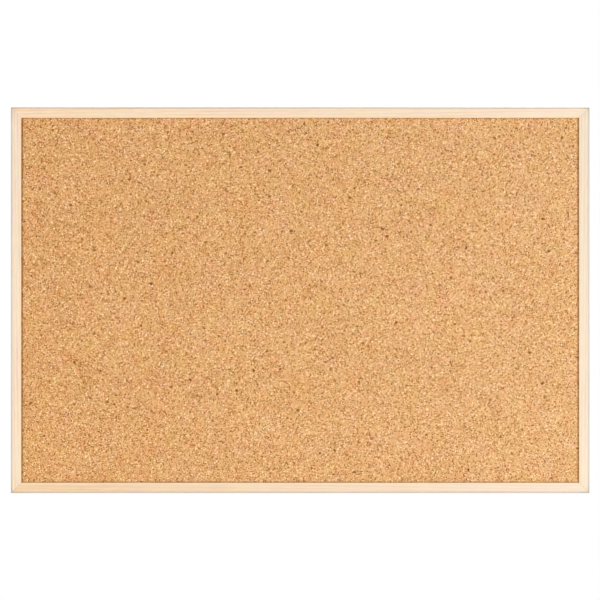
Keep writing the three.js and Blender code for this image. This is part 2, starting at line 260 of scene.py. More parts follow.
floor_paint, tree, shader = new_material(
    "matt_white_floor", **{"Base Color": linear("#F4F3F0"), "Roughness": 0.9}
)
place = add_node(tree, "TexCoord").outputs["Object"]
on_floor = add_node(tree, "VectorMath", {0: place, 1: (1, 1, 0)}, operation="MULTIPLY").outputs[0]
from_middle = add_node(tree, "VectorMath", {0: on_floor}, operation="LENGTH").outputs["Value"]
glow_share = add_node(
    tree,
    "MapRange",
    {0: from_middle, 1: FADE_START, 2: FLOOR_RADIUS, 3: FLOOR_GLOW, 4: 1.0},
    interpolation_type="SMOOTHSTEP",
).outputs[0]
seen = add_node(tree, "LightPath").outputs
share = add_node(
    tree, "Math", {0: seen["Is Camera Ray"], 1: glow_share}, operation="MULTIPLY"
).outputs[0]
glow = add_node(tree, "Emission", {"Color": linear("#FFFFFF"), "Strength": 1.0})
lit_and_glowing = add_node(
    tree, "MixShader", {0: share, 1: shader.outputs[0], 2: glow.outputs[0]}
).outputs[0]
tree.links.new(lit_and_glowing, tree.nodes["Material Output"].inputs["Surface"])
floor.data.materials.append(floor_paint)
floor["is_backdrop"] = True
print("floor at", round(floor_z, 3), "m")

# %% [markdown]
# Three helpers make and place the pieces. The first turns points and faces into a closed mesh with its
# faces outwards. It is smooth, but stays crisp where two faces meet at a steep angle. The second gives
# a mesh its finish, puts it on one of the board's bodies and hides the piece of the frame that it
# stands for. The third gives a finish to pieces of the frame that keep their own shape. A fourth helper
# turns the size of a pattern to the scale that a texture takes.

# %% Making and dressing pieces
CRISP_ANGLE = math.radians(32)


def make_mesh(name, points, faces):
    """A closed mesh from points in metres and faces, smooth but for its steep edges."""
    mesh = bpy.data.meshes.new(name)
    mesh.from_pydata(points, [], faces)
    mesh.validate()
    work = bmesh.new()
    work.from_mesh(mesh)
    bmesh.ops.recalc_face_normals(work, faces=work.faces)
    work.to_mesh(mesh)
    work.free()
    mesh.polygons.foreach_set("use_smooth", [True] * len(mesh.polygons))
    mesh.set_sharp_from_angle(angle=CRISP_ANGLE)
    return mesh


def add_piece(mesh, material, body, node):
    """Puts a mesh with a finish on a body, and hides the CAD node that it stands for."""
    mesh.materials.clear()
    mesh.materials.append(material)
    piece = bpy.data.objects.new(mesh.name, mesh)
    bpy.context.scene.collection.objects.link(piece)
    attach(piece, body)
    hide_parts(node)
    print(piece.name, "faces:", len(mesh.polygons))


def dress(material, *names):
    """Gives pieces of the frame a finish of this lesson in place of their plain one."""
    for name in names:
        for place in nodes[name].material_slots:
            place.material = material
    print(material.name, "on", len(names), "pieces")


def per_metre(millimetres):
    """The size of one cell or wave of a pattern, as a texture scale in cells per metre."""
    return 1 / (millimetres * MM)


# %% [markdown]
# Cork sheet is made of granules of bark, ground to 1 or 2 mm, pressed into a block with a little
# binder, sliced and sanded. So its face is a mosaic: each granule has its own tan, from straw to
# cinnamon, thin darker seams run between them, fine dust fills in, and here and there lies a crumb
# of the dark outer bark. A plain noise would give clouds. Voronoi cells are just such a mosaic, and
# each cell also gives a random number for its granule's tone. The place at which they are read is
# shaken a little first, so that the granules get torn outlines and not ruled ones. Most granules
# are much the same tan, and that makes the few dark ones stand out. So a ramp of greys spreads the
# random numbers: the lowest tenth falls steeply to black, and the long middle is nearly flat.

# %% Cork: granules, seams and dust
GRANULE_MM = 1.55
DUST_MM = 0.8  # coarser than real dust, which would be lost in the picture
TEAR_MM = 0.8
TEAR_REACH = 0.6 * MM
SEAM_SHARE_OF_GRANULE = 0.16
TONE_SPREAD = [
    (0.0, "#000000"),
    (0.1, "#A2A2A2"),
    (0.3, "#B5B5B5"),
    (0.85, "#C8C8C8"),
    (1.0, "#EDEDED"),
]

cork, tree, cork_shader = new_material("granulated_cork_sanded", **{"Specular IOR Level": 0.12})
place = add_node(tree, "TexCoord").outputs["Object"]
tears = add_node(
    tree, "TexNoise", {"Vector": place, "Scale": per_metre(TEAR_MM), "Detail": 1.0}
).outputs["Color"]
torn = add_node(
    tree,
    "VectorMath",
    {0: tears, 1: (TEAR_REACH, TEAR_REACH, TEAR_REACH), 2: place},
    operation="MULTIPLY_ADD",
).outputs[0]
cells = {"Vector": torn, "Scale": per_metre(GRANULE_MM)}
granules = add_node(tree, "TexVoronoi", cells)
granule_luck = add_node(tree, "SeparateColor", {0: granules.outputs["Color"]}).outputs["Green"]
granule_tone = add_node(tree, "ValToRGB", {0: granule_luck}, stops=TONE_SPREAD).outputs[0]
edges = add_node(tree, "TexVoronoi", cells, feature="DISTANCE_TO_EDGE").outputs["Distance"]
seams = add_node(
    tree, "MapRange", {0: edges, 1: 0.0, 2: SEAM_SHARE_OF_GRANULE, 3: 1.0, 4: 0.0}
).outputs[0]
dust = add_node(tree, "TexVoronoi", {"Vector": torn, "Scale": per_metre(DUST_MM)})
dust_tone = add_node(tree, "SeparateColor", {0: dust.outputs["Color"]}).outputs["Green"]
print("granules:", round(per_metre(GRANULE_MM)), "to the metre")

# %% [markdown]
# The cork in the corner under the frame's lip gets painted shade, which makes the line there darker
# than the lamps alone would. A strip of its own would look pasted on, so the cork's material finds the
# corner by itself, from how far a point lies from the outer edge of the board. The frame will need the
# same distance for its own edges. The line comes and goes, because a noise is multiplied in.

# %% Cork: painted shade under the lip
FACE_WIDTH = 16.5 * MM
LIP_SHADE_WIDTH = 0.9 * MM
LIP_SHADE_FADE = 1.3 * MM
LIP_SHADE_GAPS_MM = 4


def edge_distances(tree, place):
    """How far a point lies from the nearest outer edge of the board and from the next one."""
    from_middle = add_node(
        tree, "VectorMath", {0: place, 1: board_middle}, operation="SUBTRACT"
    ).outputs[0]
    apart = add_node(tree, "VectorMath", {0: from_middle}, operation="ABSOLUTE").outputs[0]
    inwards = add_node(
        tree, "VectorMath", {0: board_size / 2, 1: apart}, operation="SUBTRACT"
    ).outputs[0]
    inset = add_node(tree, "SeparateXYZ", {0: inwards}).outputs
    ends = {0: inset["X"], 1: inset["Z"]}
    nearest = add_node(tree, "Math", ends, operation="MINIMUM").outputs[0]
    other = add_node(tree, "Math", ends, operation="MAXIMUM").outputs[0]
    return nearest, other


nearest, _ = edge_distances(tree, place)
lip_shade_edge = FACE_WIDTH + LIP_SHADE_WIDTH
lip_shade_band = add_node(
    tree, "MapRange", {0: nearest, 1: lip_shade_edge, 2: lip_shade_edge + LIP_SHADE_FADE, 3: 1.0, 4: 0.0}
).outputs[0]
lip_shade_gaps = add_node(
    tree, "TexNoise", {"Vector": place, "Scale": per_metre(LIP_SHADE_GAPS_MM), "Detail": 1.0}
).outputs[0]
# painted shade along the lip, broken up by the noise
lip_shade = add_node(tree, "Math", {0: lip_shade_band, 1: lip_shade_gaps}, operation="MULTIPLY").outputs[0]
print("the frame's face is", FACE_WIDTH / MM, "mm wide")

# %% [markdown]
# Cork and wood are painted a little paler and cooler from left to right. This is painted light, which
# falls more on the board's right. Unequal lamps would do that too, but the lip's two shadows are alike.
# So both finishes read how much of this painted light a point gets from how far along the board it
# lies.

# %% Painted light from the right


def light_from_right(tree, place):
    """How much painted light a point gets, from 0 at the left end of the board to 1 at the right end.
    """
    across = add_node(tree, "SeparateXYZ", {0: place}).outputs["X"]
    return add_node(tree, "MapRange", {0: across, 1: board_low.x, 2: board_high.x}).outputs[0]


print("fading over", round(board_size.x / MM), "mm")

# %% [markdown]
# The tone of the cork is a sum of layers, each with its own share. They are the granule, the dust, the
# seam, and large and small patches of the block that came out paler or darker. Two more are painted
# shade by how deep a point lies in a pit, where the light doesn't reach, and the painted light that
# makes the right end paler. Colours could be mixed layer by layer instead, but one sum is easier to
# balance. Every layer is centred first, so that changing its share leaves the sheet's mean alone.

# %% Cork: tone
PATCH_MM = 80
MOTTLE_MM = 13
PIT_DEPTH = 0.35 * MM
MEAN_TONE = 0.5
cork_low, cork_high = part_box("cork_sheet")

patches = add_node(
    tree, "TexNoise", {"Vector": place, "Scale": per_metre(PATCH_MM), "Detail": 1.0}
).outputs[0]
mottle = add_node(
    tree, "TexNoise", {"Vector": place, "Scale": per_metre(MOTTLE_MM), "Detail": 2.0}
).outputs[0]
depth_place = add_node(tree, "SeparateXYZ", {0: place}).outputs["Y"]
pit_shade = add_node(
    tree, "MapRange", {0: depth_place, 1: cork_low.y, 2: cork_low.y + PIT_DEPTH}
).outputs[0]
LAYERS = [  # each layer with its middle value and its share
    (granule_tone, 0.49, 1.84),
    (dust_tone, 0.5, 0.3),
    (seams, 0.35, -0.2),
    (patches, 0.5, 0.06),
    (mottle, 0.5, 0.04),
    # painted shade in the pits, deeper where the light doesn't reach
    (pit_shade, 0.25, -0.2),
    # painted light: the cork turns paler towards the right end of the board
    (light_from_right(tree, place), 0.5, 0.1),
]
tone = MEAN_TONE - sum(middle * share for _, middle, share in LAYERS)
for layer, _, share in LAYERS:
    tone = add_node(tree, "Math", {0: layer, 1: share, 2: tone}, operation="MULTIPLY_ADD").outputs[0]
print("cork layers:", len(LAYERS))

# %% [markdown]
# The colour follows from the tone by a ramp, from the brown of old bark to the cream of the softest
# cork. The darkest granules lie well below zero in the sum of the layers, so the ramp starts down
# there, and no two of them need look the same. Over the ramp goes a slow noise whose red, green and
# blue wander apart, which turns some patches a little redder and others a little greener.

# %% Cork: colour
HUE_PATCH_MM = 28
HUE_SHARE = 0.2
DARKEST_TONE = -0.4
CORK_COLOURS = [
    (0.0, "#894C06"),
    (0.29, "#AB6821"),
    (0.43, "#C2843F"),
    (0.64, "#E3AF75"),
    (0.86, "#FED19C"),
    (1.0, "#FFEABE"),
]

spread = add_node(tree, "MapRange", {0: tone, 1: DARKEST_TONE, 2: 1.0}).outputs[0]
tan = add_node(tree, "ValToRGB", {0: spread}, stops=CORK_COLOURS).outputs[0]
hues = add_node(
    tree, "TexNoise", {"Vector": place, "Scale": per_metre(HUE_PATCH_MM), "Detail": 2.0}
).outputs["Color"]
tinted = add_node(
    tree, "Mix", {0: HUE_SHARE, 6: tan, 7: hues}, data_type="RGBA", blend_type="SOFT_LIGHT"
).outputs[2]
print("cork colours:", len(CORK_COLOURS))

# %% [markdown]
# The crumbs of outer bark are larger cells of their own. Only five in a thousand show, each as dark as
# its luck says and grained by the dust, so that it doesn't look like a flat chip. The painted shade
# under the lip only darkens, so it is multiplied in last. Cork scatters light in its cells, so it is
# fully matt and hardly mirrors at all, and the pale granules are the roughest.

# %% Cork: crumbs, painted shade under the lip and surface
CRUMB_MM = 3.4
CRUMBS_IN_A_THOUSAND = 5
CRUMB_GRAIN = (0.8, 1.2)
LIP_SHADE_SHARE = 0.5
CORK_ROUGHNESS = (0.84, 0.96)
CORK_BUMP = 0.5
BUMP_DEPTH = 0.12 * MM

crumb_start = 1 - CRUMBS_IN_A_THOUSAND / 1000
crumbs = add_node(tree, "TexVoronoi", {"Vector": torn, "Scale": per_metre(CRUMB_MM)})
crumb_luck = add_node(tree, "SeparateColor", {0: crumbs.outputs["Color"]}).outputs["Red"]
is_bark = add_node(
    tree, "Math", {0: crumb_luck, 1: crumb_start}, operation="GREATER_THAN"
).outputs[0]
bark = add_node(
    tree, "ValToRGB", {0: crumb_luck}, stops=[(crumb_start, "#B9844B"), (1.0, "#7C4817")]
).outputs[0]
grain = add_node(tree, "MapRange", {0: dust_tone, 3: CRUMB_GRAIN[0], 4: CRUMB_GRAIN[1]}).outputs[0]
rough_bark = add_node(tree, "VectorMath", {0: bark, "Scale": grain}, operation="SCALE").outputs[0]
barked = add_node(
    tree, "Mix", {0: is_bark, 6: tinted, 7: rough_bark}, data_type="RGBA"
).outputs[2]
# the painted shade under the lip darkens the colour by up to this share
lip_shade_factor = add_node(tree, "MapRange", {0: lip_shade, 3: 1.0, 4: 1 - LIP_SHADE_SHARE}).outputs[0]
lip_shaded = add_node(tree, "VectorMath", {0: barked, "Scale": lip_shade_factor}, operation="SCALE").outputs[0]
tree.links.new(lip_shaded, cork_shader.inputs["Base Color"])
rough = add_node(
    tree, "MapRange", {0: tone, 3: CORK_ROUGHNESS[0], 4: CORK_ROUGHNESS[1]}
).outputs[0]
tree.links.new(rough, cork_shader.inputs["Roughness"])
relief = add_node(
    tree, "Bump", {"Strength": CORK_BUMP, "Distance": BUMP_DEPTH, "Height": tone}
).outputs[0]
tree.links.new(relief, cork_shader.inputs["Normal"])
print("crumbs of bark:", CRUMBS_IN_A_THOUSAND, "in a thousand")

# %% [markdown]
# The sanded face isn't a plane. Granules stand a little proud or lie a little low, and some have
# left pits. Bump alone would stay flat at a low angle and would be lost in an exported mesh, so the
# coarser part of the relief is real. The sheet is a grid of points a little coarser than the
# granules, shaken out of line, and each point is let into the sheet by its own depth. The proudest
# points reach the CAD sheet's face and none passes it.

# %% Cork sheet
POINT_PITCH = 2.3 * MM
SHAKE_SHARE = 0.35
PIT_RARITY = 2.5
SEED = 7
across = round((cork_high.x - cork_low.x) / POINT_PITCH) + 1
upward = round((cork_high.z - cork_low.z) / POINT_PITCH) + 1
chance = np.random.default_rng(SEED)
xs, zs = np.meshgrid(
    np.linspace(cork_low.x, cork_high.x, across),
    np.linspace(cork_low.z, cork_high.z, upward),
)
inside = np.zeros((upward, across))
inside[1:-1, 1:-1] = 1
xs = xs + inside * chance.uniform(-SHAKE_SHARE, SHAKE_SHARE, xs.shape) * POINT_PITCH
zs = zs + inside * chance.uniform(-SHAKE_SHARE, SHAKE_SHARE, zs.shape) * POINT_PITCH
ys = cork_low.y + inside * PIT_DEPTH * chance.random(xs.shape) ** PIT_RARITY
face_points = np.stack([xs, ys, zs], axis=-1).reshape(-1, 3)
index = np.arange(across * upward).reshape(upward, across)
corners = [index[:-1, :-1], index[:-1, 1:], index[1:, 1:], index[1:, :-1]]
quads = np.stack(corners, axis=-1).reshape(-1, 4)
outline = np.concatenate([index[0, :-1], index[:-1, -1], index[-1, :0:-1], index[:0:-1, 0]])
back_points = face_points[outline] * [1, 0, 1] + [0, cork_high.y, 0]
back = len(face_points) + np.arange(len(outline))
sides = np.stack([np.roll(outline, -1), outline, back, np.roll(back, -1)], axis=-1)
cork_mesh = make_mesh(
    "cork_granules",
    np.vstack([face_points, back_points]).tolist(),
    [*quads.tolist(), *sides.tolist(), back[::-1].tolist()],
)
add_piece(cork_mesh, cork, "board", "cork_sheet")

# %% [markdown]
# The frame is pine, planed to a moulding, sanded and lacquered satin. Pine shows its growth rings
# as soft lines along the rail: a wide band of pale earlywood that deepens into a thin line of
# darker latewood and then starts again at once. Waves in rings round an axis do just that, if the
# axis is laid along the rail and some way off it, as the middle of the tree was, and if everything
# is drawn out along it. No plank is sawn quite along the grain, so the rings drift slowly across
# the rail, and they are plain in some stretches and faint in others.

# %% Pine: growth rings
RING_MM = 5.0
RING_WANDER = 7.0
GRAIN_STRETCH = 1 / 18
LATEWOOD = [(0.0, "#000000"), (0.45, "#000000"), (0.88, "#FFFFFF"), (1.0, "#000000")]
FAINT_STRETCH_MM = 7
FAINT_BELOW = 0.36
PLAIN_ABOVE = 0.64
FAINTEST = 0.15
WAVES_PER_UNIT = 20 / (2 * math.pi)  # a ring wave of scale 1 has this many rings to the metre


def drawn_out(tree, along, stretch):
    """A place read more slowly along X, so that what is drawn there is stretched that way."""
    return add_node(
        tree, "VectorMath", {0: along, 1: (stretch, 1, 1)}, operation="MULTIPLY"
    ).outputs[0]


def growth_rings(tree, along):
    """How much latewood there is at a point: a saw wave across the grain that comes and goes."""
    grain = drawn_out(tree, along, GRAIN_STRETCH)
    waves = add_node(
        tree,
        "TexWave",
        {
            "Vector": grain,
            "Scale": per_metre(RING_MM) / WAVES_PER_UNIT,
            "Distortion": RING_WANDER,
            "Detail": 1.5,
            "Detail Scale": 0.35,
        },
        wave_type="RINGS",
        rings_direction="X",
        wave_profile="SAW",
    ).outputs["Fac"]
    lines = add_node(tree, "ValToRGB", {0: waves}, stops=LATEWOOD).outputs[0]
    faint = add_node(
        tree, "TexNoise", {"Vector": grain, "Scale": per_metre(FAINT_STRETCH_MM)}
    ).outputs[0]
    strength = add_node(
        tree, "MapRange", {0: faint, 1: FAINT_BELOW, 2: PLAIN_ABOVE, 3: FAINTEST, 4: 1.0}
    ).outputs[0]
    return add_node(tree, "Math", {0: lines, 1: strength}, operation="MULTIPLY").outputs[0]


print("growth rings every", RING_MM, "mm")

# %% [markdown]
# Streaks along the grain make the wood pinkish here and straw yellow there, a fibre runs through
# all of it, and resin canals show as short darker dashes. All three are noises drawn out along the
# grain. Real fibres and canals are a tenth of a millimetre wide or less, and would be lost in the
# picture, so both are drawn coarser here.

# %% Pine: streaks, fibre and canals
STREAK_MM = 4.0
STREAK_STRETCH = 1 / 10
STREAK_SHARE = 0.4
FIBRE_MM = 0.6
FIBRE_STRETCH = 1 / 30
FIBRE_SHADES = (0.92, 1.05)
CANAL_MM = 0.9
CANAL_FROM = 0.66
CANAL_FULL = 0.76
CANAL_SHADE = 0.88
NOISE_LOW = 0.3  # a noise seldom leaves the range between these two
NOISE_HIGH = 0.7


def pine_wood(tree, along, early, late):
    """The colour of the bare wood at a point, with the rings and the fibre that are in it."""
    rings = growth_rings(tree, along)
    wood = add_node(
        tree, "Mix", {0: rings, 6: linear(early), 7: linear(late)}, data_type="RGBA"
    ).outputs[2]
    streaky = drawn_out(tree, along, STREAK_STRETCH)
    streaks = add_node(
        tree, "TexNoise", {"Vector": streaky, "Scale": per_metre(STREAK_MM), "Detail": 2.0}
    ).outputs["Color"]
    streaked = add_node(
        tree,
        "Mix",
        {0: STREAK_SHARE, 6: wood, 7: streaks},
        data_type="RGBA",
        blend_type="SOFT_LIGHT",
    ).outputs[2]
    thin = drawn_out(tree, along, FIBRE_STRETCH)
    fibre = add_node(
        tree, "TexNoise", {"Vector": thin, "Scale": per_metre(FIBRE_MM), "Detail": 2.0}
    ).outputs[0]
    fibre_shade = add_node(
        tree,
        "MapRange",
        {0: fibre, 1: NOISE_LOW, 2: NOISE_HIGH, 3: FIBRE_SHADES[0], 4: FIBRE_SHADES[1]},
    ).outputs[0]
    canals = add_node(tree, "TexNoise", {"Vector": thin, "Scale": per_metre(CANAL_MM)}).outputs[0]
    canal_shade = add_node(
        tree, "MapRange", {0: canals, 1: CANAL_FROM, 2: CANAL_FULL, 3: 1.0, 4: CANAL_SHADE}
    ).outputs[0]
    shade = add_node(
        tree, "Math", {0: fibre_shade, 1: canal_shade}, operation="MULTIPLY"
    ).outputs[0]
    shaded = add_node(
        tree, "VectorMath", {0: streaked, "Scale": shade}, operation="SCALE"
    ).outputs[0]
    return shaded, rings, fibre


print("fibre drawn", FIBRE_MM, "mm wide")

# %% [markdown]
# The front of the frame is painted with the light and shade of its edges. The outer edge is painted
# grey, as painted shade where its rounded arris turns away from the lamps, and it is darker still near
# the corners. Along the inner edge runs a painted highlight of pale yellow. The lip's inner wall is
# painted brown as painted shade, so that it throws less light back onto the cork. Each of these is a
# band of colour that is strongest at one edge, fades over its own reach, and fades again from the front
# of the moulding to its back. So one loop lays them all, from a short list.

# %% Pine: painted shade and highlight along the edges
OUTER_SHADE_REACH = 4.0 * MM
INNER_HIGHLIGHT_REACH = 3.5 * MM
INNER_HIGHLIGHT = 0.9
LIP_WALL_SHADE_REACH = 0.15 * MM
FRONT_REACH = 12 * MM
CORNER_REACH = 25 * MM
CORNER_DARKENING = 0.45


def with_painted_edges(tree, place, colour, edge_shade):
    """The colour of the wood with painted shade and highlight along its edges, darker near the corners.
    """
    nearest, other = edge_distances(tree, place)
    depth = add_node(tree, "SeparateXYZ", {0: place}).outputs["Y"]
    near_corner = add_node(
        tree, "MapRange", {0: other, 1: 0.0, 2: CORNER_REACH, 3: CORNER_DARKENING, 4: 0.0}
    ).outputs[0]
    # painted highlight on the inner edge, painted shade on the lip's wall and along the outer edge,
    # darker still near the corners
    for edge, reach, most, painted_colour in (
        (FACE_WIDTH, -INNER_HIGHLIGHT_REACH, INNER_HIGHLIGHT, "#FFE4B4"),
        (FACE_WIDTH, -LIP_WALL_SHADE_REACH, 1.0, "#B58650"),
        (0, OUTER_SHADE_REACH, edge_shade, "#BAB9B0"),
        (0, OUTER_SHADE_REACH, near_corner, "#8E8678"),
    ):
        near = add_node(
            tree, "MapRange", {0: nearest, 1: edge, 2: edge + reach, 3: most, 4: 0.0}
        ).outputs[0]
        front = add_node(
            tree,
            "MapRange",
            {0: depth, 1: board_low.y, 2: board_low.y + FRONT_REACH, 3: near, 4: 0.0},
        ).outputs[0]
        colour = add_node(
            tree, "Mix", {0: front, 6: colour, 7: linear(painted_colour)}, data_type="RGBA"
        ).outputs[2]
    return colour


print("marks reach back", round(FRONT_REACH / MM), "mm from the front")

# %% [markdown]
# Now the whole finish. The grain is laid along X, turned about Y, and read at its own place in the
# plank. The wood is painted paler towards the right end as painted light. It gets painted shade and
# highlight along its edges, and a satin lacquer over it, whose index is the 1.5 of most varnishes. The
# lacquer is a little smoother on the hard ridges of the fibre than between them, and latewood stands a
# few hundredths of a millimetre proud after sanding.

# %% Pine: finish
LACQUER_IOR = 1.5
LIT_WOOD = "#FFFCF3"
SATIN = (0.56, 0.44)
FIBRE_RELIEF = 0.5
PINE_BUMP = 0.25
PINE_BUMP_DEPTH = 0.05 * MM


def pine(name, turn, plank_mm, early, late, most_painted_light, edge_shade):
    """Lacquered pine from one place in the plank, with its grain turned about Y."""
    material, tree, shader = new_material(f"pine_sanded_lacquered_{name}", IOR=LACQUER_IOR)
    place = add_node(tree, "TexCoord").outputs["Object"]
    shift = [v * MM for v in plank_mm]
    along = add_node(
        tree, "Mapping", {"Vector": place, "Rotation": (0, turn, 0), "Location": shift}
    ).outputs[0]
    wood, rings, fibre = pine_wood(tree, along, early, late)
    # painted light: the wood turns paler towards the right end of the board
    painted_light_share = add_node(
        tree, "Math", {0: light_from_right(tree, place), 1: most_painted_light}, operation="MULTIPLY"
    ).outputs[0]
    right_lit_wood = add_node(
        tree, "Mix", {0: painted_light_share, 6: wood, 7: linear(LIT_WOOD)}, data_type="RGBA"
    ).outputs[2]
    tree.links.new(with_painted_edges(tree, place, right_lit_wood, edge_shade), shader.inputs["Base Color"])
    gloss = add_node(
        tree, "MapRange", {0: fibre, 1: NOISE_LOW, 2: NOISE_HIGH, 3: SATIN[0], 4: SATIN[1]}
    ).outputs[0]
    tree.links.new(gloss, shader.inputs["Roughness"])
    height = add_node(
        tree, "Math", {0: fibre, 1: FIBRE_RELIEF, 2: rings}, operation="MULTIPLY_ADD"
    ).outputs[0]
    relief = add_node(
        tree, "Bump", {"Strength": PINE_BUMP, "Distance": PINE_BUMP_DEPTH, "Height": height}
    ).outputs[0]
    tree.links.new(relief, shader.inputs["Normal"])
    return material


print("satin lacquer, roughness", SATIN[1], "to", SATIN[0])

# %% [markdown]
# The four lengths come from different parts of the plank, so the same tree is read at four places, each
# with its own drift of the grain and its own tone. A quarter turn lays the grain of the stiles upright,
# and the few thousandths added to the turn are the drift. The second to last number says how much paler
# the wood is painted at the right end of the board, as painted light. The last number says how grey its
# outer edge is painted, as painted shade of its rounded arris.

# %% Four rails
UPRIGHT = math.pi / 2
dress(pine("top", 0.011, (310, 40, 22), "#FBE2C1", "#F3CA9D", 0.3, 0.1), "top_rail")
dress(pine("bottom", -0.014, (-520, 52, 590), "#F1D3AC", "#E9BE8D", 0.46, 0.85), "bottom_rail")
dress(pine("left", UPRIGHT + 0.013, (150, 44, 420), "#F7E4CB", "#EFCEA8", 0.26, 0.9), "left_stile")
dress(pine("right", UPRIGHT - 0.009, (-240, 60, -410), "#F4E1C2", "#EDCA9F", 0.26, 0.7), "right_stile")

# %% [markdown]
# Behind the cork is softboard, wood fibre felted and pressed dry. It takes and holds the pins. It
# is brown, matt and woolly: long fibres lie in every direction of the sheet. Noise drawn out along
# a few directions stands for the fibres. The place is bent a little first, so that no fibre is
# ruled straight. Loose fibre mirrors little, so the specular level is well below the usual half.

# %% Softboard
FIBRE_WIDTH_MM = 0.35
FIBRE_LENGTHS = 9
FIBRE_TURNS = (0.4, 1.5, 2.5)
CURL_MM = 5
CURL_REACH = 3.5 * MM
FELT_COLOURS = [(0.35, "#8C6E48"), (0.5, "#B3946A"), (0.65, "#CDB088")]
FELT_ROUGHNESS = (0.98, 0.88)
FELT_BUMP = 0.7
FELT_DEPTH = 0.3 * MM


def felted_fibres(tree, place, width_mm):
    """Fibres that lie on a sheet in every direction, as a few crossing stretched noises."""
    curls = add_node(
        tree, "TexNoise", {"Vector": place, "Scale": per_metre(CURL_MM)}
    ).outputs["Color"]
    curled = add_node(
        tree,
        "VectorMath",
        {0: curls, 1: (CURL_REACH, CURL_REACH, CURL_REACH), 2: place},
        operation="MULTIPLY_ADD",
    ).outputs[0]
    fibres = 0.0
    for turn in FIBRE_TURNS:
        turned = add_node(tree, "Mapping", {"Vector": curled, "Rotation": (0, turn, 0)}).outputs[0]
        drawn = drawn_out(tree, turned, 1 / FIBRE_LENGTHS)
        layer = add_node(
            tree, "TexNoise", {"Vector": drawn, "Scale": per_metre(width_mm), "Detail": 2.0}
        ).outputs[0]
        part = {0: layer, 1: 1 / len(FIBRE_TURNS), 2: fibres}
        fibres = add_node(tree, "Math", part, operation="MULTIPLY_ADD").outputs[0]
    return fibres


softboard, tree, shader = new_material("softboard_wood_fibre", **{"Specular IOR Level": 0.2})
place = add_node(tree, "TexCoord").outputs["Object"]
fibres = felted_fibres(tree, place, FIBRE_WIDTH_MM)
felt = add_node(tree, "ValToRGB", {0: fibres}, stops=FELT_COLOURS).outputs[0]
tree.links.new(felt, shader.inputs["Base Color"])
rough = add_node(
    tree,
    "MapRange",
    {0: fibres, 1: NOISE_LOW, 2: NOISE_HIGH, 3: FELT_ROUGHNESS[0], 4: FELT_ROUGHNESS[1]},
).outputs[0]
tree.links.new(rough, shader.inputs["Roughness"])
relief = add_node(
    tree, "Bump", {"Strength": FELT_BUMP, "Distance": FELT_DEPTH, "Height": fibres}
).outputs[0]
tree.links.new(relief, shader.inputs["Normal"])
dress(softboard, "softboard_core")

# %% [markdown]
# The back is brown kraft paper, pasted on so that the panel stays flat. It is made of long
# unbleached fibres, which show as a fine cloud of light and dark with a few dark shives in it. The
# same felted fibres serve it, only finer, with the cloud added to them. They are still drawn
# coarser than in real paper, so that they show. The shives are the very middles of Voronoi cells.

# %% Kraft paper: colour
PAPER_FIBRE_MM = 0.22
CLOUD_MM = 5
CLOUD_SHARE = 0.35
THIN_PAPER = 0.5
THICK_PAPER = 0.85
KRAFT_COLOURS = [(THIN_PAPER, "#AD8356"), (0.67, "#BC9365"), (THICK_PAPER, "#C9A276")]
SHIVE_CELL_MM = 6
SHIVE_CORE = 0.03
SHIVE_EDGE = 0.06
SHIVE_SHARE = 0.4

kraft, tree, shader = new_material("kraft_paper_pasted", **{"Specular IOR Level": 0.35})
place = add_node(tree, "TexCoord").outputs["Object"]
fibres = felted_fibres(tree, place, PAPER_FIBRE_MM)
clouds = add_node(
    tree, "TexNoise", {"Vector": place, "Scale": per_metre(CLOUD_MM), "Detail": 4.0}
).outputs[0]
formation = add_node(
    tree, "Math", {0: clouds, 1: CLOUD_SHARE, 2: fibres}, operation="MULTIPLY_ADD"
).outputs[0]
brown = add_node(tree, "ValToRGB", {0: formation}, stops=KRAFT_COLOURS).outputs[0]
from_shive = add_node(
    tree, "TexVoronoi", {"Vector": place, "Scale": per_metre(SHIVE_CELL_MM)}
).outputs["Distance"]
shives = add_node(
    tree, "MapRange", {0: from_shive, 1: SHIVE_CORE, 2: SHIVE_EDGE, 3: SHIVE_SHARE, 4: 0.0}
).outputs[0]
flecked = add_node(
    tree, "Mix", {0: shives, 6: brown, 7: linear("#6E4A2A")}, data_type="RGBA"
).outputs[2]
tree.links.new(flecked, shader.inputs["Base Color"])
print("kraft paper colours:", len(KRAFT_COLOURS))

# %% [markdown]
# The paper has cockled slightly where the paste was wet. It is smoother than the softboard but has
# no gloss. A cockle is wide and deep and the tooth of the fibres fine and shallow, so one bump
# can't draw both. Two follow each other: the cockle first, and the tooth on its slopes.

# %% Kraft paper: surface
PAPER_ROUGHNESS = (0.86, 0.74)
COCKLE_MM = 60
COCKLE_BUMP = 0.35
COCKLE_DEPTH = 1.2 * MM
TOOTH_BUMP = 0.3
TOOTH_DEPTH = 0.08 * MM

rough = add_node(
    tree,
    "MapRange",
    {0: formation, 1: THIN_PAPER, 2: THICK_PAPER, 3: PAPER_ROUGHNESS[0], 4: PAPER_ROUGHNESS[1]},
).outputs[0]
tree.links.new(rough, shader.inputs["Roughness"])
cockle = add_node(
    tree, "TexNoise", {"Vector": place, "Scale": per_metre(COCKLE_MM), "Detail": 0.0}
).outputs[0]
slopes = add_node(
    tree, "Bump", {"Strength": COCKLE_BUMP, "Distance": COCKLE_DEPTH, "Height": cockle}
).outputs[0]
tooth = add_node(
    tree,
    "Bump",
    {"Strength": TOOTH_BUMP, "Distance": TOOTH_DEPTH, "Height": formation, "Normal": slopes},
).outputs[0]
tree.links.new(tooth, shader.inputs["Normal"])
dress(kraft, "backing_paper")

# %% [markdown]
# The plating on a metal edge is rubbed bright. Each edge could be marked by hand, but a mask can
# find them all. The bevel node gives the direction that a rounded edge would face. Where that
# differs from the way the surface really faces, an edge is near.

# %% Wear along metal edges
WEAR_REACH = 0.25 * MM
BEVEL_SAMPLES = 8
WORN_COSINE = 0.8  # the wear is full where the two directions are this far apart


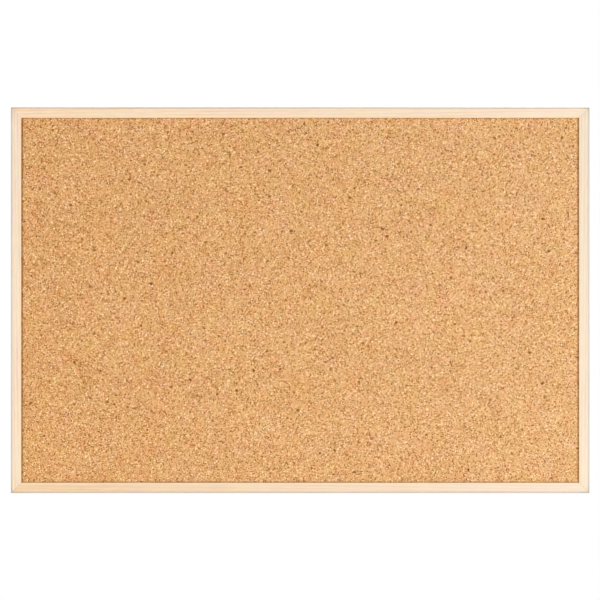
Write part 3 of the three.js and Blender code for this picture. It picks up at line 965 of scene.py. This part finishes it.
def edge_wear(tree):
    """A mask that is 1 on an edge and falls to 0 at a distance from it."""
    rounded = add_node(tree, "Bevel", {"Radius": WEAR_REACH}, samples=BEVEL_SAMPLES).outputs[0]
    true_normal = add_node(tree, "NewGeometry").outputs["Normal"]
    same = add_node(
        tree, "VectorMath", {0: rounded, 1: true_normal}, operation="DOT_PRODUCT"
    ).outputs["Value"]
    return add_node(tree, "MapRange", {0: same, 1: 1.0, 2: WORN_COSINE, 3: 0.0, 4: 1.0}).outputs[0]


print("wear reaches", WEAR_REACH / MM, "mm from an edge")

# %% [markdown]
# All the metal is steel. The V-nails are cut from bright rolled strip, which keeps the fine lines
# of the rolls. The hangers are pressed from strip and wire and then zinc plated: a bluish silver
# with a slightly cloudy gloss. The screws are headed and thread rolled, then plated too. They
# differ only in numbers, so one function makes them all. A metal has its colour in its reflection,
# so the lines and clouds go mostly into roughness, and the rubbed edges are smoother. The lines are
# drawn coarser than real ones, so that they show. The stretch says along which axis they run, and
# the last two numbers are the roughness of the smoothest and of the dullest spots.

# %% Steel and zinc
CLOUD_OF_ZINC_MM = 1.6
LINE_MM = 0.12
LINE_SHARE = 0.4
LINE_BASE = 0.3
LINE_BUMP = 0.2
LINE_DEPTH = 0.02 * MM
DULL_AT = 0.15
BRIGHT_AT = 0.4
HAZE_FROM = 0.12
HAZE_TO = 0.42
RUBBED_METAL = "#E6E8EA"


def plated_steel(name, stretch, dull, bright, smooth, rough):
    """Metal with rolling lines drawn out by a stretch, clouds in its gloss and rubbed edges."""
    material, tree, shader = new_material(name, Metallic=1.0)
    place = add_node(tree, "TexCoord").outputs["Object"]
    drawn = add_node(tree, "VectorMath", {0: place, 1: stretch}, operation="MULTIPLY").outputs[0]
    lines = add_node(
        tree, "TexNoise", {"Vector": drawn, "Scale": per_metre(LINE_MM), "Detail": 1.0}
    ).outputs[0]
    clouds = add_node(
        tree, "TexNoise", {"Vector": place, "Scale": per_metre(CLOUD_OF_ZINC_MM), "Detail": 3.0}
    ).outputs[0]
    both = add_node(
        tree, "Math", {0: lines, 1: LINE_SHARE, 2: LINE_BASE}, operation="MULTIPLY_ADD"
    ).outputs[0]
    uneven = add_node(tree, "Math", {0: clouds, 1: both}, operation="MULTIPLY").outputs[0]
    worn = edge_wear(tree)
    tones = [(DULL_AT, dull), (BRIGHT_AT, bright)]
    metal = add_node(tree, "ValToRGB", {0: uneven}, stops=tones).outputs[0]
    rubbed = add_node(
        tree, "Mix", {0: worn, 6: metal, 7: linear(RUBBED_METAL)}, data_type="RGBA"
    ).outputs[2]
    tree.links.new(rubbed, shader.inputs["Base Color"])
    haze = add_node(
        tree, "MapRange", {0: uneven, 1: HAZE_FROM, 2: HAZE_TO, 3: rough, 4: smooth}
    ).outputs[0]
    gloss = add_node(tree, "Mix", {0: worn, 2: haze, 3: smooth}, data_type="FLOAT").outputs[0]
    tree.links.new(gloss, shader.inputs["Roughness"])
    relief = add_node(
        tree, "Bump", {"Strength": LINE_BUMP, "Distance": LINE_DEPTH, "Height": lines}
    ).outputs[0]
    tree.links.new(relief, shader.inputs["Normal"])
    return material


rolled_steel = plated_steel("steel_strip_bright_rolled", (1, 0.04, 1), "#8E9093", "#C4C6C9", 0.24, 0.42)
zinc_strip = plated_steel("zinc_plate_on_strip", (1, 1, 0.05), "#A3A9AF", "#D3D8DD", 0.26, 0.44)
zinc_wire = plated_steel("zinc_plate_on_wire", (1, 1, 1), "#A9AFB5", "#DADFE3", 0.2, 0.36)
screw_steel = plated_steel("zinc_plate_on_screw", (1, 0.3, 1), "#9A9EA3", "#CDD1D6", 0.22, 0.4)
nail_names = [name for name in nodes if name.startswith("v_nail")]
dress(rolled_steel, *nail_names)

# %% [markdown]
# Wire, strap and screw are long pieces whose section changes little by little. So all three are
# made by lofting: a row of closed rings of points is skinned, and each end gets a flat cap. Bends
# are drawn as arcs. The ring of each hanger turns about its CAD hinge, so the hinge's place is also
# where the wire's bar and the strap's eye go.

# %% Lofts and arcs
hinge_place = {joint["child"]: Vector(joint["pos_m"]) for joint in frame["joints"]}
HANGERS = {"left": hinge_place["left_ring"], "right": hinge_place["right_ring"]}


def loft(name, rings):
    """A closed mesh through a row of rings of points, in millimetres, with flat caps."""
    count = len(rings[0])
    points = [[v * MM for v in point] for ring in rings for point in ring]
    faces = []
    for start in range(0, (len(rings) - 1) * count, count):
        for side in range(count):
            turn = (side + 1) % count
            faces.append((start + side, start + turn, start + count + turn, start + count + side))
    faces.append(range(count))
    faces.append(range(len(points) - count, len(points)))
    return make_mesh(name, points, [tuple(face) for face in faces])


def arc(middle, radius, start, end, steps):
    """Points along an arc in a plane, between two angles in degrees."""
    angles = np.radians(np.linspace(start, end, steps + 1))
    return [(middle[0] + radius * math.cos(a), middle[1] + radius * math.sin(a)) for a in angles]


def full_turn(sides):
    """The angles of the corners of a round section."""
    return np.linspace(0, 2 * math.pi, sides, endpoint=False)


def with_directions(line):
    """The points of a line in a plane, with the unit direction of the line at each of them."""
    points = np.array(line)
    along = np.gradient(points, axis=0)
    return points, along / np.linalg.norm(along, axis=1, keepdims=True)


print("hinges:", {side: tuple(round(v / MM, 2) for v in at) for side, at in HANGERS.items()})

# %% [markdown]
# The D-ring is 1.8 mm wire, bent to a D with tight corners at its bar. The two sheared ends of the
# wire meet inside the strap's eye and leave a gap of 0.4 mm. A curve with a round bevel would give
# the tube, but not its chamfered ends, so the section is swept round the D. It has many more sides
# than the CAD ring has, because a bright wire shows every facet in its reflections.

# %% D-rings
WIRE_RADIUS = 0.9
WIRE_SIDES = 24
END_CHAMFER = 0.15
BAR_HALF = 5.6
CORNER_RADIUS = 1.6
CORNER_STEPS = 14
SHOULDER = 5.9
BOW_STEPS = 64
HALF_GAP = 0.2

corner = BAR_HALF - CORNER_RADIUS
ring_line = [
    (HALF_GAP, 0),
    (HALF_GAP + END_CHAMFER, 0),
    *arc((corner, CORNER_RADIUS), CORNER_RADIUS, -90, 0, CORNER_STEPS),
    *arc((0, SHOULDER), BAR_HALF, 0, 180, BOW_STEPS),
    *arc((-corner, CORNER_RADIUS), CORNER_RADIUS, 180, 270, CORNER_STEPS),
    (-HALF_GAP - END_CHAMFER, 0),
    (-HALF_GAP, 0),
]
centres, directions = with_directions(ring_line)
wire_rings = []
for step, ((x, z), (dx, dz)) in enumerate(zip(centres, directions)):
    radius = WIRE_RADIUS - (END_CHAMFER if step in (0, len(centres) - 1) else 0)
    wire_rings.append(
        [
            (x - dz * radius * math.cos(a), radius * math.sin(a), z + dx * radius * math.cos(a))
            for a in full_turn(WIRE_SIDES)
        ]
    )
for side, place in HANGERS.items():
    ring_mesh = loft(f"{side}_d_ring_wire", wire_rings)
    ring_mesh.transform(Matrix.Translation(place))
    add_piece(ring_mesh, zinc_wire, f"{side}_ring", f"{side}_d_ring")

# %% [markdown]
# Holes and recesses could be built into the meshes face by face, but a boolean modifier cuts them
# wherever they fall. Its result is kept as the piece's mesh, so that the cutter doesn't stay in the
# scene.

# %% Cutting


def cut(mesh, cutter_mesh):
    """The mesh less a cutter, as a new mesh of the same name."""
    body = bpy.data.objects.new("blank", mesh)
    cutter = bpy.data.objects.new("cutter", cutter_mesh)
    for thing in (body, cutter):
        bpy.context.scene.collection.objects.link(thing)
    boolean = body.modifiers.new("cut", "BOOLEAN")
    boolean.operation = "DIFFERENCE"
    boolean.solver = "EXACT"
    boolean.object = cutter
    bpy.context.view_layer.update()
    worked = body.evaluated_get(bpy.context.evaluated_depsgraph_get())
    result = bpy.data.meshes.new_from_object(worked)
    name = mesh.name
    for thing in (body, cutter):
        bpy.data.objects.remove(thing)
    for used in (mesh, cutter_mesh):
        bpy.data.meshes.remove(used)
    result.name = name
    result.polygons.foreach_set("use_smooth", [True] * len(result.polygons))
    result.set_sharp_from_angle(angle=CRISP_ANGLE)
    return result


# %% [markdown]
# The strap is one strip of 0.8 mm steel. It lies on the wood, rises round the wire to make the eye,
# comes back down in a smaller bend and lies on itself. Both ends are rounded about the screw. A
# flat strip could be bent by modifiers, but a sweep along the fold keeps the steel equally thick.
# The strip's section is a rectangle with its corners broken, as the deburring drum leaves them, and
# its width follows the rounded end.

# %% Straps: the fold
HALF_WIDTH = 3.5
HALF_STEEL = 0.4
BROKEN_EDGE = 0.1
EYE_HEIGHT = 1.95
EYE_RADIUS = 1.55
EYE_STEPS = 40
LAYER_RISE = 0.9
BEND_RADIUS = 1.2
BEND_STEPS = 16
SCREW_DROP = 6.6
END_START = 6  # in degrees, so that the end isn't drawn out to a point
END_STEPS = 15

upper = HALF_STEEL + LAYER_RISE
bend_y = upper + BEND_RADIUS
bend_z = -math.sqrt((EYE_RADIUS + BEND_RADIUS) ** 2 - (bend_y - EYE_HEIGHT) ** 2)
meet = math.degrees(math.atan2(bend_z, bend_y - EYE_HEIGHT))
end_angles = np.radians(np.linspace(END_START, 90, END_STEPS))
rounded_end = [-SCREW_DROP - HALF_WIDTH * math.cos(a) for a in end_angles]
fold_line = [
    *((HALF_STEEL, z) for z in rounded_end),
    *arc((EYE_HEIGHT, 0), EYE_RADIUS, 180, meet, EYE_STEPS),
    *arc((bend_y, bend_z), BEND_RADIUS, meet + 180, 180, BEND_STEPS)[1:],
    *((upper, z) for z in reversed(rounded_end)),
]
centres, directions = with_directions(fold_line)
strip_rings = []
for (y, z), (dy, dz) in zip(centres, directions):
    below = min(0, z + SCREW_DROP)
    half = math.sqrt(max(HALF_WIDTH**2 - below**2, 0))
    flat, thin = half - BROKEN_EDGE, HALF_STEEL - BROKEN_EDGE
    section = [(half, thin), (flat, HALF_STEEL), (-flat, HALF_STEEL), (-half, thin)]
    section += [(-a, -b) for a, b in section]
    strip_rings.append([(a, y - dz * b, z + dy * b) for a, b in section])
print("strip sections along the fold:", len(strip_rings))

# %% [markdown]
# The screw hole goes through both layers. A real one is punched in the flat strip, but here it is
# cut after the fold, so that it lines up in both by itself.

# %% Straps: the screw hole
HOLE_RADIUS = 1.7
HOLE_SIDES = 40
HOLE_START = -1

hole = [
    [
        (HOLE_RADIUS * math.cos(a), y, HOLE_RADIUS * math.sin(a) - SCREW_DROP)
        for a in full_turn(HOLE_SIDES)
    ]
    for y in (HOLE_START, EYE_HEIGHT)
]
for side, place in HANGERS.items():
    strap = cut(loft(f"{side}_strap_folded", strip_rings), loft("hole", hole))
    strap.transform(Matrix.Translation(place - Vector((0, EYE_HEIGHT * MM, 0))))
    add_piece(strap, zinc_strip, "board", f"{side}_hanger_strap")

# %% [markdown]
# The screw is a pan head with a cross recess. A helix could be joined on to a plain shank. Here the
# thread is a ridge that winds round a slimmer core: the radius of the shank depends on the depth
# and on the angle, and one loft makes both without a seam. The head's dome follows a flattened
# quarter circle.

# %% Screws: head and thread
SCREW_LENGTH = 12.0
HEAD_RADIUS = 3.0
HEAD_RIM = 0.5
HEAD_CHAMFER = 0.1
DOME_STEPS = 12
DOME_START = 86  # in degrees, so that the top of the dome is a small flat cap
DOME_FULLNESS = 0.7
DOME_RISE = 0.9
CORE_RADIUS = 1.05
THREAD_HEIGHT = 0.45
THREAD_PITCH = 1.25
THREAD_RUN_IN = 1.0
RIDGE_SHARE = 0.24
TIP_LENGTH = 3.5
TIP_RADIUS = 0.08
SCREW_SIDES = 40
STEPS_PER_TURN = 10

screw_low, screw_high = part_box("left_hanger_screw")
head_height = (screw_high.y - screw_low.y) / MM - SCREW_LENGTH
screw_angles = full_turn(SCREW_SIDES)


def level_ring(radius, height):
    """A ring of the screw that is equally wide all round, at a height over the head's seat."""
    return [(radius * math.cos(a), height, radius * math.sin(a)) for a in screw_angles]


def shank_radius(depth, angle):
    """The shank's radius, where the thread winds round a core that tapers to a point."""
    turn = (depth / THREAD_PITCH - angle / (2 * math.pi)) % 1
    ridge = max(0, 1 - abs(turn - 0.5) / RIDGE_SHARE) * min(1, depth / THREAD_RUN_IN)
    taper = min(1, (SCREW_LENGTH - depth) / TIP_LENGTH)
    thread = min(1, taper * 2) * ridge * THREAD_HEIGHT * taper
    return max(TIP_RADIUS, taper * CORE_RADIUS + thread)


screw_rings = []
for a in np.radians(np.linspace(DOME_START, 0, DOME_STEPS)):
    radius = HEAD_RADIUS * math.cos(a) ** DOME_FULLNESS
    height = HEAD_RIM + (head_height - HEAD_RIM) * math.sin(a) ** DOME_RISE
    screw_rings.append(level_ring(radius, height))
screw_rings.append(level_ring(HEAD_RADIUS, HEAD_CHAMFER))
screw_rings.append(level_ring(HEAD_RADIUS - HEAD_CHAMFER, 0))
for depth in np.arange(0, SCREW_LENGTH, THREAD_PITCH / STEPS_PER_TURN):
    radii = [shank_radius(depth, a) for a in screw_angles]
    screw_rings.append(
        [(r * math.cos(a), -depth, r * math.sin(a)) for r, a in zip(radii, screw_angles)]
    )
screw_rings.append(level_ring(TIP_RADIUS, -SCREW_LENGTH))
print("rings along the screw:", len(screw_rings))

# %% [markdown]
# The recess is cut by a cross whose arms taper inwards, like the driver's tip. It is turned by an
# eighth of a turn, as a screw seldom stops upright.

# %% Screws: recess
RECESS_SPAN = 1.6
RECESS_ARM = 0.42
RECESS_DEPTH = 1.15
RECESS_TAPER = 0.55
RECESS_OVERLAP = 0.2


def cross(span, arm, height):
    """The twelve corners of a cross, turned by an eighth of a turn."""
    quarter = [(span, -arm), (span, arm), (arm, arm)]
    turns = [math.pi / 4 + quarter_turns * math.pi / 2 for quarter_turns in range(4)]
    return [
        (x * math.cos(t) - z * math.sin(t), height, x * math.sin(t) + z * math.cos(t))
        for t in turns
        for x, z in quarter
    ]


recess = [
    cross(RECESS_SPAN, RECESS_ARM, head_height + RECESS_OVERLAP),
    cross(RECESS_SPAN, RECESS_ARM, head_height - RECESS_OVERLAP),
    cross(RECESS_SPAN * RECESS_TAPER, RECESS_ARM * RECESS_TAPER, head_height - RECESS_DEPTH),
]
for side in HANGERS:
    low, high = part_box(f"{side}_hanger_screw")
    screw = cut(loft(f"{side}_pan_head_screw", screw_rings), loft("recess", recess))
    seat = Vector(((low.x + high.x) / 2, low.y + SCREW_LENGTH * MM, (low.z + high.z) / 2))
    screw.transform(Matrix.Translation(seat))
    add_piece(screw, screw_steel, "board", f"{side}_hanger_screw")

# %% [markdown]
# Last, the box of the dressed board is held against the box of the CAD board, and how much it has grown
# is printed. The two should be the same, because every finer mesh was fitted into the solid that it
# stands for.

# %% Print the growth and finish
new_low, new_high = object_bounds()
growth = (new_high - new_low) - (cad_high - cad_low)
print("grown by, in mm:", [round(v / MM, 3) for v in growth])
